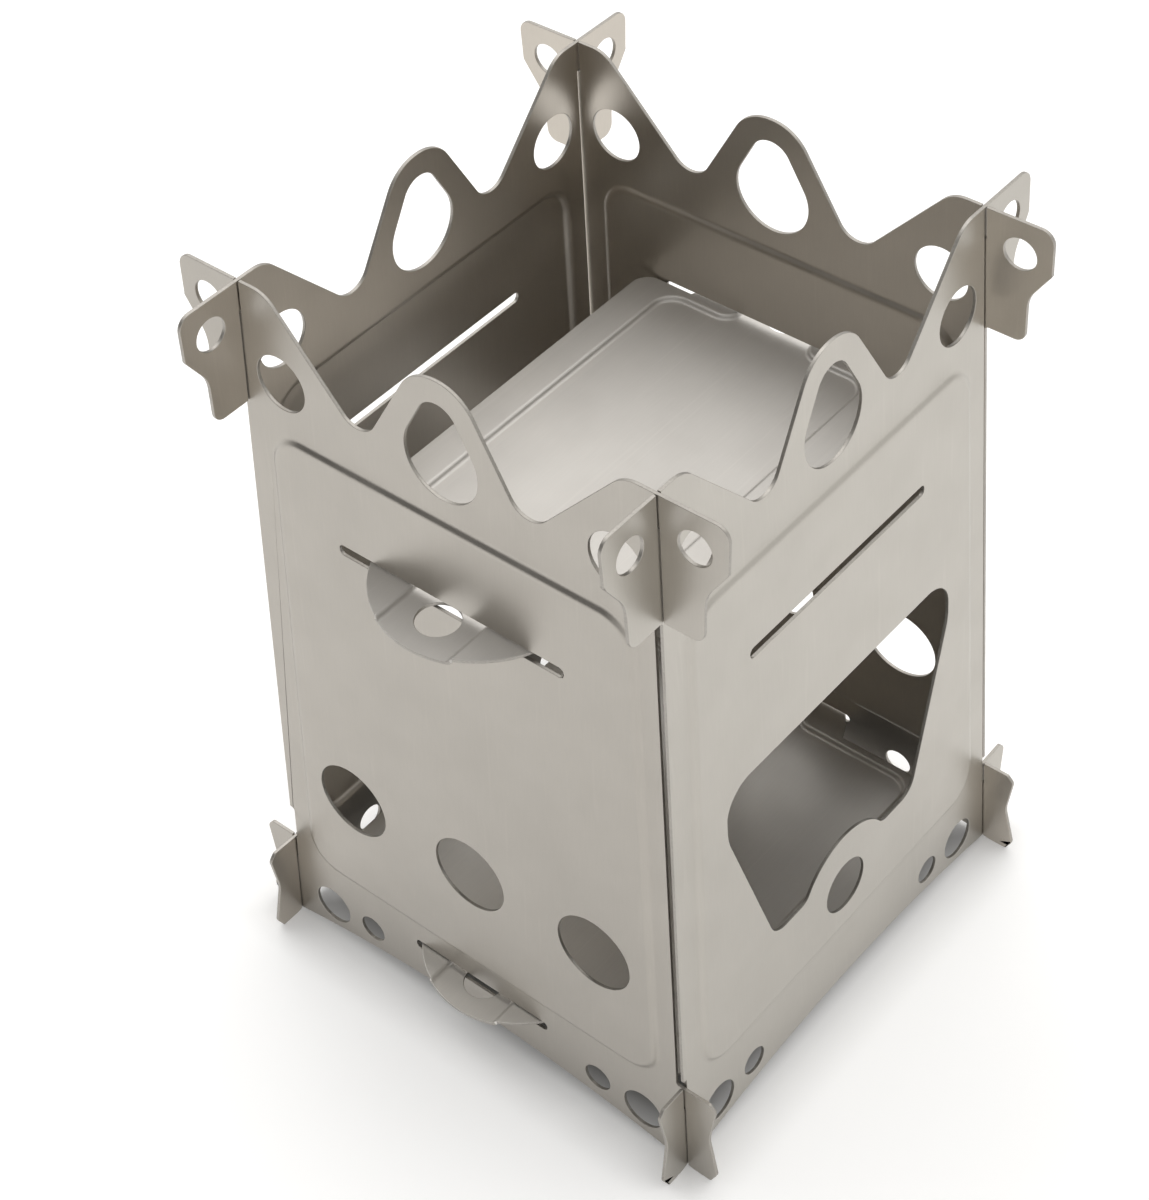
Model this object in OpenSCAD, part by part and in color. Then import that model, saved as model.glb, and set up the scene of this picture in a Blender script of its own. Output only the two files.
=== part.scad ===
// Flat-pack wood stove for backpacking. Four pressed sheet walls lean inward
// and lap through each other at the corners. Two dished plates lie between
// them, with tabs that pass through slots in the front and back walls.
// The origin is on the ground under the middle of the stove, the front wall
// faces -Y, and the wall with the fuel opening faces +X.

/* [Stove] */
// Width across the outer faces of two facing walls, at the ground
base_w = 117.7; // [112:0.1:124]
// Length of a wall up its own slope
wall_h = 187.2; // [182:0.1:194]
// Angle at which each wall leans inward
lean = 2.5; // [1.5:0.1:3]
// Thickness of every sheet
sheet_t = 0.8; // [0.6:0.05:1]

/* [Corner laps] */
// How far the blank of a wall runs past the corner, at the ground
lap_reach = 7.15; // [6:0.05:8]
// Least clearance beside a sheet in a lap slot
lap_play = 0.2; // [0.1:0.05:0.3]
// Clearance at the closed end of a lap slot
lap_end_play = 0.15; // [0.1:0.05:0.3]
// Gap beside the plain edge of the front wall, at the front corner
side_gap = 1.25; // [1:0.05:1.5]
// How far above a lifted foot the edge of the wall beside it steps out
lip_rise = 3; // [2:0.5:12]
// Height of an ear, from its lower edge to the top of the wall
ear_h = 29; // [27:0.5:31]
// Height of the square tip of an ear
ear_tip_h = 10.2; // [8:0.1:12]
// How far the neck of an ear is cut in from its tip
ear_neck = 4.9; // [3:0.1:6]
// Radius of the hollow of that neck
ear_neck_r = 8; // [5:0.5:9]
// Radius of the top corner of an ear
ear_corner_r = 3; // [2:0.1:4]
// Radius of the lower corner of an ear
ear_heel_r = 2.5; // [1.5:0.1:3.5]
// Height of a foot, from the ground to its top
foot_h = 26.6; // [24:0.1:29]
// How far the middle of a foot is hollowed out
foot_waist = 1.6; // [1:0.1:2.4]
// Radius of that hollow
foot_waist_r = 9; // [7:0.5:12]
// How far the toe of a foot stands out past the blank
foot_toe = 0.8; // [0.4:0.1:1.4]
// Height of the toe above the ground
foot_toe_h = 3.2; // [2.6:0.1:4.2]
// Radius of the toe
foot_toe_r = 1.9; // [1.2:0.1:2]

/* [Crown] */
// Depth of the valleys between the peaks, before they are rounded
valley_depth = 25.1; // [22:0.1:27]
// Radius of a valley
valley_r = 5.2; // [3.5:0.1:6]
// Distance from a corner to the shoulder where its ear ends, at the top
shoulder_in = 7.6; // [6:0.1:9]
// Radius of a shoulder
shoulder_r = 7; // [5:0.1:8]
// Half the width of the middle peak at its top, before it is rounded
peak_half = 5.85; // [5:0.05:7]
// Radius of the middle peak
peak_r = 9.6; // [7:0.1:9.9]
// Radius of the lower end of the egg-shaped hole in the peak
egg_low_r = 9.1; // [8:0.1:9.6]
// Radius of its upper end
egg_high_r = 5; // [4:0.1:5.6]
// Depth of the centre of its lower end below the top
egg_low_d = 18.85; // [17.5:0.05:20]
// Depth of the centre of its upper end below the top
egg_high_d = 10.35; // [9.8:0.05:11.5]
// Radius of the hole beside each corner
crown_hole_r = 6.3; // [5:0.1:7]
// Depth of that hole below the top
crown_hole_d = 20.4; // [19:0.1:22]
// Distance of that hole from the corner
crown_hole_in = 10.3; // [10:0.1:12]
// Radius of the hole in an ear
ear_hole_r = 3.7; // [3:0.1:4.2]
// Depth of that hole below the top
ear_hole_d = 7.8; // [7:0.1:9]
// Distance of that hole from the tip of the ear
ear_hole_in = 7.2; // [6.5:0.1:8]

/* [Pressed panel] */
// How far the field is pressed out of each wall's face
press_d = 0.9; // [0.5:0.1:1.1]
// Distance of the field from the corner, on each side
press_in = 7.4; // [6.5:0.1:10]
// Height of the lower edge of the field
press_low = 25; // [22:0.5:30]
// Distance of the upper edge of the field below the top of the wall
press_top_d = 34; // [32:0.1:38]
// Corner radius of the field
press_r = 7.5; // [5:0.1:10]

/* [Wall openings] */
// Half the length of the slot under the crown
high_slot_half = 29; // [26:0.1:32]
// Distance of that slot below the top of the wall
high_slot_d = 55.1; // [49:0.1:62]
// Height of the slot near the ground, in the front and back walls
low_slot_v = 16.4; // [14.5:0.1:19]
// Radius of each vent hole
vent_r = 9.65; // [7:0.05:11]
// Spacing of the vent holes
vent_pitch = 34.3; // [28:0.1:36]
// Height of the vent holes
vent_v = 54.5; // [45:0.1:70]
// Rise of the arch under each wall
arch_h = 6; // [4:0.1:7]
// Radius of that arch
arch_r = 310; // [280:5:360]
// Radius of the larger hole above the arch
big_hole_r = 5.2; // [4:0.1:5.6]
// Distance of that hole from the corner at the ground
big_hole_in = 12.35; // [10.5:0.05:15]
// Height of that hole
big_hole_v = 9.7; // [9.4:0.1:11]
// Radius of the smaller hole above the arch
small_hole_r = 3.5; // [2.5:0.1:4.2]
// Distance of that hole from the larger one
small_hole_gap = 12.7; // [11:0.1:16]
// Height of that hole
small_hole_v = 10.4; // [9.4:0.1:12]

/* [Fuel opening] */
// Distance of the upper edge of the fuel opening below the slot under the crown
fuel_top_d = 30.8; // [22:0.1:42]
// Half its width at the top
fuel_top_half = 38.9; // [34:0.1:41]
// Radius of its upper corners
fuel_top_r = 8; // [5:0.1:11]
// Depth of the straight upper part of its sides
fuel_side_h = 13; // [9:0.1:20]
// Radius where its sides turn inward
fuel_side_r = 16; // [8:0.5:22]
// Height of its two lower lobes
fuel_low_v = 45.7; // [40:0.1:52]
// Half the width across the two lobes
fuel_low_half = 25.4; // [23:0.1:30]
// Radius of the outer corner of a lobe
fuel_low_r = 5.5; // [3:0.1:7]
// Radius of the round hole between the lobes
draught_r = 6.9; // [4:0.1:9]
// Height of that hole
draught_v = 38; // [34.5:0.1:41]
// Radius of the arch of metal that runs over that hole
fuel_arch_r = 16; // [13:0.1:17]
// Radius where that arch runs out into a lobe
fuel_lobe_r = 3.6; // [2:0.1:4.5]

/* [Plates] */
// Depth of the dish in each plate
dish_d = 1; // [0.8:0.1:1.4]
// Clearance between the end of a plate and the walls beside it
plate_play = 0.4; // [0.3:0.1:1]
// Clearance above and below a tab in its slot
slot_play = 0.4; // [0.3:0.05:0.5]
// Clearance at each end of the slot near the ground
slot_side_play = 1.1; // [0.6:0.1:2]
// Corner radius of the slots
slot_r = 1.2; // [0.6:0.1:1.2]
// Radius of the rounded end of a tab
tab_r = 23.3; // [22:0.1:25]
// How far the tabs stand out past the foot of the walls' outer faces
tab_out = 7.45; // [5:0.05:9.5]
// Radius of the hole in each tab
tab_hole_r = 4.7; // [3:0.1:5.2]
// Distance of that hole from the end of its tab
tab_hole_in = 9.3; // [8:0.1:11]
// Half the width of the channel that runs out over each tab
channel_half = 9.3; // [7:0.1:11]
// Radius where the channel leaves the dish
channel_r = 4; // [2:0.1:5]
// Corner radius of each plate
plate_r = 4; // [2:0.1:6]
// Corner radius of the dish
dish_r = 5; // [3:0.1:7]
// Width of the rim across the ends of the dish
dish_end = 2.4; // [1.8:0.1:4]
// Half the width of the upper plate
high_plate_half = 35.2; // [32:0.1:40]
// Width of the rim along the sides of the upper plate
high_rim = 8.5; // [5:0.1:10]
// Half the width of the lower plate
low_plate_half = 52; // [46:0.1:54]
// Width of the rim along the sides of the lower plate
low_rim = 8.5; // [5:0.1:12]

/* [Hidden] */

metal = [0.66, 0.65, 0.62];
overrun = 2;
arc_n = 6;
arch_n = 12;
$fn = 64;

// Shares of the sizes that they follow
valley_share = 0.473;       // of the shoulder's distance from the middle
lap_share = 0.25;           // of an ear's or a foot's height, slotted from above
neck_share = 0.61;          // of an ear's height, down from the top
waist_share = 0.53;         // of a foot's height
foot_top_share = 0.93;      // of a foot's height
foot_heel_share = 0.975;    // of the blank, at the toe's underside
foot_tip_share = 0.6;       // of a foot's hollow
corner_share = 0.4;         // small corner radius, in sheet thicknesses
peak_fill = 0.96;           // most of the peak's top that its corners may take
slot_fill = 0.48;           // most of a slot's height that its corners may take

blank_half = base_w / 2 + lap_reach;
lap_len = ear_h * lap_share;
lift_gap = lap_play + lap_len * sin(lean);
lip_v = foot_h + lap_len + lip_rise;
small_r = sheet_t;
high_slot_v = wall_h - high_slot_d;
fuel_top_v = high_slot_v - fuel_top_d;
tab_reach = base_w / 2 + tab_out;
big_hole_x = base_w / 2 - big_hole_in;
small_hole_x = big_hole_x - small_hole_gap;
total_h = wall_h * cos(lean) - sheet_t * sin(lean);
plate_h = dish_d + sheet_t;
slot_h = plate_h + 2 * slot_play;
slot_corner_r = min(slot_r, slot_fill * slot_h);
tab_c = tab_reach - tab_r;

// Corner line on a wall's outer face: the outer face of the wall beside it
function edge_x(v) = base_w / 2 - v * sin(lean);
// Edge of a wall at a gap from the inner face of the wall beside it
function inner_x(v, gap) = edge_x(v) - sheet_t - gap;
// Outer face of a wall at a height above the ground
function face_at(z) = base_w / 2 - z * tan(lean);
// Height above the ground of a point in the middle of a wall's sheet
function rise(v) = v * cos(lean) - sheet_t / 2 * sin(lean);

// Outlines with rounded corners
function unit(v) = v / norm(v);
function wrap(a) = a > 180 ? a - 360 : a < -180 ? a + 360 : a;
function corner(a, p, b, r, n) =
    r <= 0 ? [p] :
    let (ua = unit(a - p), ub = unit(b - p), h = acos(ua * ub) / 2,
         c = p + unit(ua + ub) * r / sin(h),
         s = p + ua * r / tan(h) - c, e = p + ub * r / tan(h) - c,
         a0 = atan2(s[1], s[0]), da = wrap(atan2(e[1], e[0]) - a0))
    [for (i = [0 : n]) c + r * [cos(a0 + da * i / n), sin(a0 + da * i / n)]];
function rounded(rows) =  // rows of [x, y, radius]
    [for (i = [0 : len(rows) - 1])
        let (m = len(rows), a = rows[(i + m - 1) % m], p = rows[i], b = rows[(i + 1) % m])
        each corner([a[0], a[1]], [p[0], p[1]], [b[0], b[1]], p[2], arc_n)];
function joined(right, left) =  // two halves from bottom to top, the left one mirrored
    concat(right, [for (i = [len(left) - 1 : -1 : 0]) [-left[i][0], left[i][1], left[i][2]]]);
function mirrored(rows) = joined(rows, rows);
function arc(c, r, from, to, n) =
    [for (i = [0 : n]) let (a = from + (to - from) * i / n) c + r * [cos(a), sin(a)]];

// Right half of a wall's outline, without its arch, laps and holes. Between
// foot and ear its edge stays at a gap from the wall beside it, or steps out
// to that wall's outer face and closes the corner.
foot_v = foot_h - corner_share * sheet_t;
ear_v = wall_h - ear_h;
shoulder_x = edge_x(wall_h) - shoulder_in;
valley_x = shoulder_x * valley_share;
peak_turn = atan2(valley_depth, valley_x - peak_half);
peak_top_r = min(peak_r, peak_fill * peak_half / tan(peak_turn / 2));
function plain_rows(gap) = [
    [inner_x(foot_v, gap), foot_v, small_r],
    [inner_x(ear_v, gap), ear_v, small_r]];
closed_rows = [
    [edge_x(foot_v), foot_v, small_r],
    [edge_x(ear_v), ear_v, small_r]];
lipped_rows = [  // closed only above the foot of a lifted neighbour
    [inner_x(foot_v, lift_gap), foot_v, small_r],
    [inner_x(lip_v, lift_gap), lip_v, small_r],
    [edge_x(lip_v), lip_v, small_r / 2],
    [edge_x(ear_v), ear_v, small_r]];
function half_rows(side_rows) = concat([
    [blank_half * foot_heel_share, -overrun, 0],
    [blank_half * foot_heel_share + foot_toe, 0, foot_toe_r * corner_share],
    [blank_half + foot_toe, foot_toe_h, foot_toe_r],
    [blank_half - foot_waist, foot_h * waist_share, foot_waist_r],
    [blank_half, foot_h * foot_top_share, foot_toe_r],
    [blank_half - foot_waist, foot_h, foot_waist * foot_tip_share]],
    side_rows, [
    [blank_half - ear_neck, ear_v, ear_heel_r],
    [blank_half - ear_neck, wall_h - ear_h * neck_share, ear_neck_r],
    [blank_half, wall_h - ear_tip_h, ear_corner_r / 2],
    [blank_half, wall_h, ear_corner_r],
    [shoulder_x, wall_h, shoulder_r],
    [valley_x, wall_h - valley_depth, valley_r],
    [peak_half, wall_h, peak_top_r]]);

// Pressed field, grown by a margin
function field_rows(grow) = let (low = press_low - grow,
                                 high = wall_h - press_top_d + grow,
                                 in = press_in - grow) mirrored([
    [edge_x(low) - in, low, press_r + grow],
    [edge_x(high) - in, high, press_r + grow]]);

// Egg-shaped hole: two circles and the lines that touch both
egg_low = [0, wall_h - egg_low_d];
egg_high = [0, wall_h - egg_high_d];
egg_a = asin((egg_low_r - egg_high_r) / (egg_low_d - egg_high_d));
egg_pts = concat(arc(egg_high, egg_high_r, egg_a, 180 - egg_a, arch_n),
                 arc(egg_low, egg_low_r, 180 - egg_a, 360 + egg_a, 2 * arch_n));

// Fuel opening: its right half runs from the middle of the metal arch, out
// round a lobe and up to the top
lobe_c = let (y = fuel_low_v + fuel_lobe_r - draught_v)
    [sqrt(pow(fuel_arch_r + fuel_lobe_r, 2) - y * y), fuel_low_v + fuel_lobe_r];
lobe_a = atan2(lobe_c[1] - draught_v, lobe_c[0]);
fuel_knee_v = fuel_top_v - fuel_side_h;
fuel_turn = atan2(fuel_top_half - fuel_low_half, fuel_knee_v - fuel_low_v);
fuel_knee_r = min(fuel_side_r, (fuel_side_h - fuel_top_r) / tan(fuel_turn / 2));
fuel_half = concat(
    arc([0, draught_v], fuel_arch_r, 90, lobe_a, arch_n),
    arc(lobe_c, fuel_lobe_r, 180 + lobe_a, 270, arc_n),
    corner([lobe_c[0], fuel_low_v], [fuel_low_half, fuel_low_v],
           [fuel_top_half, fuel_knee_v], fuel_low_r, arc_n),
    corner([fuel_low_half, fuel_low_v], [fuel_top_half, fuel_knee_v],
           [fuel_top_half, fuel_top_v], fuel_knee_r, arc_n),
    corner([fuel_top_half, fuel_knee_v], [fuel_top_half, fuel_top_v],
           [0, fuel_top_v], fuel_top_r, arc_n));
fuel_pts = concat(fuel_half, [for (i = [len(fuel_half) - 1 : -1 : 1])
    [-fuel_half[i][0], fuel_half[i][1]]]);

// Cuts right through a wall, drawn on its outer face
module through() {
    translate([0, 0, -sheet_t - press_d - overrun])
        linear_extrude(height = sheet_t + 2 * (press_d + overrun)) children();
}

module pair(x, v, r) {
    for (s = [-1, 1]) translate([s * x, v]) circle(r = r);
}

// Slot for a plate's tab
module plate_slot(v, half) {
    translate([0, v]) polygon(rounded([
        [-half, -slot_h / 2, slot_corner_r], [half, -slot_h / 2, slot_corner_r],
        [half, slot_h / 2, slot_corner_r], [-half, slot_h / 2, slot_corner_r]]));
}

// The tab is cut by the wall's sheet at this half width
low_face = face_at(rise(low_slot_v));
low_slot_half = sqrt(pow(tab_r, 2) - pow(low_face - sheet_t - tab_c, 2)) + slot_side_play;

// Lap slot at the right (1) or left (-1) end, seen from outside, between two
// heights, with a gap on the inner side. Its sides follow the sheet of the
// wall that it takes.
module lap(side, low, high, gap) {
    mirror([side < 0 ? 1 : 0, 0]) polygon([
        [inner_x(low, gap), low], [edge_x(low) + lap_play, low],
        [edge_x(high) + lap_play, high], [inner_x(high, gap), high]]);
}

// Where the laps of an ear and of a foot meet
ear_split = wall_h - lap_len;
foot_split = foot_h * (1 - lap_share);

// An end that lies under its neighbour
module laps_from_above(side) {
    lap(side, ear_split - lap_end_play, wall_h + overrun, lap_play);
    lap(side, foot_split - lap_end_play, foot_h + overrun, lap_play);
}

// An end that lies over its neighbour
module laps_from_below(side, gap = lap_play) {
    lap(side, ear_v - overrun, ear_split + lap_end_play, gap);
    lap(side, -overrun, foot_split + lap_end_play, gap);
}

module vents() {
    for (i = [-1 : 1]) translate([i * vent_pitch, vent_v]) circle(r = vent_r);
}

module fuel_opening() {
    polygon(fuel_pts);
    translate([0, draught_v]) circle(r = draught_r);
}

// Holes and slots that every wall has
module common_cuts() {
    polygon(egg_pts);
    pair(edge_x(wall_h - crown_hole_d) - crown_hole_in, wall_h - crown_hole_d, crown_hole_r);
    pair(blank_half - ear_hole_in, wall_h - ear_hole_d, ear_hole_r);
    pair(big_hole_x, big_hole_v, big_hole_r);
    pair(small_hole_x, small_hole_v, small_hole_r);
    plate_slot(high_slot_v, high_slot_half);
    translate([0, arch_h - arch_r]) circle(r = arch_r, $fn = 4 * $fn);
}

// A wall lying flat, outer face up, with its own cuts as children. Its field
// is pressed out (1) or in (-1).
module flat_wall(right_rows, left_rows, press = 1) {
    out = press > 0;
    difference() {
        union() {
            translate([0, 0, -sheet_t]) linear_extrude(height = sheet_t)
                polygon(rounded(joined(half_rows(right_rows), half_rows(left_rows))));
            translate([0, 0, out ? press_d / 2 - sheet_t : -sheet_t - press_d])
                linear_extrude(height = sheet_t + press_d / 2)
                    polygon(rounded(field_rows(sheet_t)));
        }
        translate([0, 0, out ? -sheet_t - overrun : -press_d])
            linear_extrude(height = press_d + overrun) polygon(rounded(field_rows(0)));
        through() common_cuts();
        through() children();
    }
}

// Stands a wall on the ground, turned from the front
module stand(turn) {
    intersection() {
        rotate([0, 0, turn]) translate([0, -base_w / 2, 0]) rotate([90 - lean, 0, 0]) children();
        translate([-base_w, -base_w, 0]) cube([2 * base_w, 2 * base_w, total_h]);
    }
}

// Outline of a plate, and of its dish with the channels, grown by a margin
module plate_outline(half, end) {
    polygon(rounded([[-half, -end, plate_r], [half, -end, plate_r],
                     [half, end, plate_r], [-half, end, plate_r]]));
    for (s = [-1, 1]) translate([0, s * tab_c]) circle(r = tab_r, $fn = 2 * $fn);
}

function dish_side(half, end, grow) = [
    [half + grow, end + grow, dish_r + grow],
    [channel_half + grow, end + grow, channel_r - grow],
    [channel_half + grow, tab_reach + overrun, 0]];

module dish_outline(half, end, grow) {
    side = dish_side(half, end, grow);
    low = [for (i = [2 : -1 : 0]) [side[i][0], -side[i][1], side[i][2]]];
    polygon(rounded(mirrored(concat(low, side))));
}

// A plate with its underside at zero
module plate(half, rim, end) {
    difference() {
        union() {
            translate([0, 0, dish_d])
                linear_extrude(height = sheet_t) plate_outline(half, end);
            linear_extrude(height = plate_h - sheet_t / 2) intersection() {
                plate_outline(half, end);
                dish_outline(half - rim, end - dish_end, sheet_t);
            }
        }
        translate([0, 0, sheet_t])
            linear_extrude(height = plate_h) dish_outline(half - rim, end - dish_end, 0);
        for (s = [-1, 1]) translate([0, s * (tab_reach - tab_hole_in), -overrun])
            cylinder(r = tab_hole_r, h = plate_h + 2 * overrun);
    }
}

plate_end = face_at(rise(high_slot_v)) - sheet_t - press_d - plate_play;

module front_wall() {
    color(metal) stand(0) flat_wall(plain_rows(side_gap), lipped_rows) {
        laps_from_below(1);
        laps_from_above(-1);
        vents();
        plate_slot(low_slot_v, low_slot_half);
    }
}

module right_wall() {
    color(metal) stand(90) flat_wall(plain_rows(lap_play), closed_rows) {
        laps_from_below(1);
        laps_from_above(-1);
        fuel_opening();
    }
}

// Stands with its pressed side inward
module back_wall() {
    color(metal) stand(180) flat_wall(lipped_rows, closed_rows, press = -1) {
        laps_from_above(1);
        laps_from_above(-1);
        vents();
        plate_slot(low_slot_v, low_slot_half);
    }
}

// Lies over both of its neighbours, so it can be lifted out
module left_wall() {
    color(metal) stand(-90) flat_wall(plain_rows(lift_gap), plain_rows(lift_gap)) {
        laps_from_below(1, lift_gap);
        laps_from_below(-1, lift_gap);
        vents();
    }
}

module upper_plate() {
    color(metal) translate([0, 0, rise(high_slot_v) - plate_h / 2])
        plate(high_plate_half, high_rim, plate_end);
}

module lower_plate() {
    color(metal) translate([0, 0, rise(low_slot_v) - plate_h / 2])
        plate(low_plate_half, low_rim, plate_end);
}

front_wall();
right_wall();
back_wall();
left_wall();
upper_plate();
lower_plate();
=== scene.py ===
"""Looks of a flat-pack wood stove: four pressed sheet walls and two dished plates.

Each piece is drawn flat in millimetres, filled, pressed, given its sheet
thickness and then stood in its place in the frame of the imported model.
"""

import logging
import math
from dataclasses import dataclass, replace
from enum import Enum
from typing import Any, Callable, Iterable, Sequence, Union

import bmesh
import bpy
from mathutils import Matrix, Vector


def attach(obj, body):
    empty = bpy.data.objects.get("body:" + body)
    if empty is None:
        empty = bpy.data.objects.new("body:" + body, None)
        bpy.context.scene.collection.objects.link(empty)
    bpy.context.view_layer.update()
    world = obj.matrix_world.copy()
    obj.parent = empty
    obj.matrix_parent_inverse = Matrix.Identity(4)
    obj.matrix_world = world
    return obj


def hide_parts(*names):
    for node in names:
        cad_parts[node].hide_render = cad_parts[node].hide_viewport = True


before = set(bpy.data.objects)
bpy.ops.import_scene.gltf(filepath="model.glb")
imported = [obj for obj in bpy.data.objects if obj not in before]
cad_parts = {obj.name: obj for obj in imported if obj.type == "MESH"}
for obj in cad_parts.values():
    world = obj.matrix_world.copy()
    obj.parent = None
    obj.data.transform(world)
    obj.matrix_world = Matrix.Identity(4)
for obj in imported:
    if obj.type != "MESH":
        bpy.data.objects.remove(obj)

log = logging.getLogger("stove")

MM = 0.001
RGB = tuple[float, float, float]


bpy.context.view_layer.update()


# --------------------------------------------------------------------------
# Flat drawing
# --------------------------------------------------------------------------


@dataclass(frozen=True)
class Corner:
    """A corner of an outline, rounded by its radius."""

    x: float
    v: float
    r: float = 0.0
    steps: int = 8

    def ends(self) -> tuple[Vector, Vector]:
        """The points that the lines before and after it aim at."""
        point = Vector((self.x, self.v, 0.0))
        return point, point

    def mirrored(self) -> "Corner":
        """The same corner on the other side of the middle."""
        return replace(self, x=-self.x)


@dataclass(frozen=True)
class Arc:
    """A stretch of a circle in an outline, from one angle to another."""

    x: float
    v: float
    r: float
    start: float
    end: float
    steps: int = 24

    def at(self, angle: float) -> Vector:
        """A point of the circle."""
        return Vector((self.x + self.r * math.cos(angle),
                       self.v + self.r * math.sin(angle), 0.0))

    def ends(self) -> tuple[Vector, Vector]:
        """The points where it starts and ends."""
        return self.at(self.start), self.at(self.end)

    def mirrored(self) -> "Arc":
        """The same arc on the other side of the middle, drawn the other way."""
        return replace(self, x=-self.x, start=math.pi - self.end, end=math.pi - self.start)


Station = Union[Corner, Arc]


def flipped(stations: Sequence[Station]) -> list[Station]:
    """The stations of one half, mirrored and in the opposite order."""
    return [s.mirrored() for s in reversed(stations)]


def circle(x: float, v: float, r: float, steps: int = 64) -> list[Station]:
    """A full circle as a closed outline."""
    return [Arc(x, v, r, 0.0, 2 * math.pi * (1 - 1 / steps), steps - 1)]


@dataclass(frozen=True)
class Bend:
    """The soft step round a pressed field: two equal bends with a flat land on either side."""

    depth: float
    radius: float
    land: float
    steps: int = 5

    @property
    def slope(self) -> float:
        """Its steepest angle, where the two bends meet."""
        return math.acos(1 - self.depth / (2 * self.radius))

    @property
    def reach(self) -> float:
        """How far it runs to each side of its middle."""
        return self.radius * math.sin(self.slope) + self.land

    def rings(self) -> list[tuple[float, float]]:
        """Lists its rings from the outside in.

        Returns:
            Each ring's margin round the field, and its depth.
        """
        turns = [self.slope * i / self.steps for i in range(self.steps + 1)]
        half = [(self.radius * (math.sin(self.slope) - math.sin(t)),
                 self.radius * (1 - math.cos(t))) for t in turns]
        other = [(-out, self.depth - down) for out, down in reversed(half[:-1])]
        return [(self.reach, 0.0), *half, *other, (-self.reach, self.depth)]


class Sheet:
    """A sheet that is drawn flat, filled, bent, welded and thickened in one mesh.

    It is in millimetres until it is placed.
    """

    # Turns and bends in radians, under which a line runs straight on
    NO_TURN = 1e-6
    STRAIGHT = 1e-3
    # Distances under which two ends, and two points, are one
    MEETING = 1e-5
    WELD = 1e-3
    # Rise of the normal under which a face is a cut edge
    CUT_SLOPE = 0.2
    BROKEN_STEPS = 2
    BROKEN_ANGLE = math.radians(40)

    def __init__(self) -> None:
        """Starts with an empty mesh."""
        self.bm = bmesh.new()

    def _sweep(self, start: Vector, centre: Vector, turn: float, steps: int) -> tuple[Any, Any]:
        """Spins one vertex round a centre.

        Args:
            start: Where the vertex starts.
            centre: The centre of the turn.
            turn: The angle, anticlockwise from above.
            steps: How many edges it leaves behind.

        Returns:
            The first and the last vertex.
        """
        first = self.bm.verts.new(start)
        if abs(turn) < self.NO_TURN:
            return first, first
        made = bmesh.ops.spin(
            self.bm, geom=[first], cent=centre, axis=(0, 0, 1), angle=turn,
            steps=steps, use_duplicate=False,
        )
        return first, next(g for g in made["geom_last"] if isinstance(g, bmesh.types.BMVert))

    def _round(self, before: Vector, corner: Corner, after: Vector) -> tuple[Any, Any]:
        """Draws one rounded corner.

        Args:
            before: The point that the outline comes from.
            corner: The corner.
            after: The point that it goes on to.

        Returns:
            The first and the last vertex.
        """
        point = corner.ends()[0]
        back, on = (before - point).normalized(), (after - point).normalized()
        half = back.angle(on) / 2
        if corner.r <= 0 or half > math.pi / 2 - self.STRAIGHT:
            return self._sweep(point, point, 0.0, 0)
        centre = point + (back + on).normalized() * corner.r / math.sin(half)
        side = back.cross(on).z
        turn = (math.pi - 2 * half) * (-1 if side > 0 else 1)
        return self._sweep(point + back * corner.r / math.tan(half), centre, turn, corner.steps)

    def draw(self, stations: Sequence[Station], depth: float = 0.0,
             closed: bool = True) -> list[Any]:
        """Draws an outline, or an open line whose two ends are plain corners.

        Args:
            stations: Its corners and arcs in order.
            depth: How deep below the sheet it lies.
            closed: True for an outline.

        Returns:
            Its edges.
        """
        known, drawn = set(self.bm.edges), set(self.bm.verts)
        ends = []
        for i, station in enumerate(stations):
            if isinstance(station, Arc):
                ends.append(self._sweep(station.at(station.start),
                                        Vector((station.x, station.v, 0)),
                                        station.end - station.start, station.steps))
            else:
                before = stations[i - 1].ends()[1]
                after = stations[(i + 1) % len(stations)].ends()[0]
                ends.append(self._round(before, station, after))
        nexts = ends[1:] + ends[:1] if closed else ends[1:]
        for (_, last), (first, _) in zip(ends, nexts):
            if (last.co - first.co).length > self.MEETING:
                self.bm.edges.new((last, first))
        bmesh.ops.translate(self.bm, verts=[v for v in self.bm.verts if v not in drawn],
                            vec=(0, 0, -depth))
        return [e for e in self.bm.edges if e not in known]

    def fill(self, loops: Iterable[Sequence[Station]], depth: float = 0.0) -> None:
        """Fills the sheet between an outline and the holes in it.

        Args:
            loops: The outline and its holes.
            depth: How deep it lies.
        """
        edges = [e for loop in loops for e in self.draw(loop, depth)]
        bmesh.ops.triangle_fill(self.bm, use_beauty=True, use_dissolve=False, edges=edges,
                                normal=Vector((0, 0, 1)))

    def bend(self, line: Callable[[float], Sequence[Station]], bend: Bend,
             closed: bool = True) -> None:
        """Bridges the rings of a soft step.

        Args:
            line: Gives the line round the field at a margin.
            bend: The step.
            closed: True where the line closes on itself.
        """
        rows = [self.draw(line(grow), depth, closed) for grow, depth in bend.rings()]
        for upper, lower in zip(rows, rows[1:]):
            bmesh.ops.bridge_loops(self.bm, edges=upper + lower)

    def weld(self) -> None:
        """Joins flats and bends along their shared lines, and turns them all upward."""
        bmesh.ops.remove_doubles(self.bm, verts=self.bm.verts, dist=self.WELD)
        for face in self.bm.faces:
            face.normal_update()
            if face.normal.z < 0:
                face.normal_flip()

    def thicken(self, thickness: float) -> None:
        """Gives the sheet its thickness below, and marks its cut edges as material 1.

        Args:
            thickness: The thickness.
        """
        bmesh.ops.solidify(self.bm, geom=self.bm.faces[:], thickness=thickness)
        bmesh.ops.recalc_face_normals(self.bm, faces=self.bm.faces)
        for face in self.bm.faces:
            face.material_index = 1 if abs(face.normal.z) < self.CUT_SLOPE else 0

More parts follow.
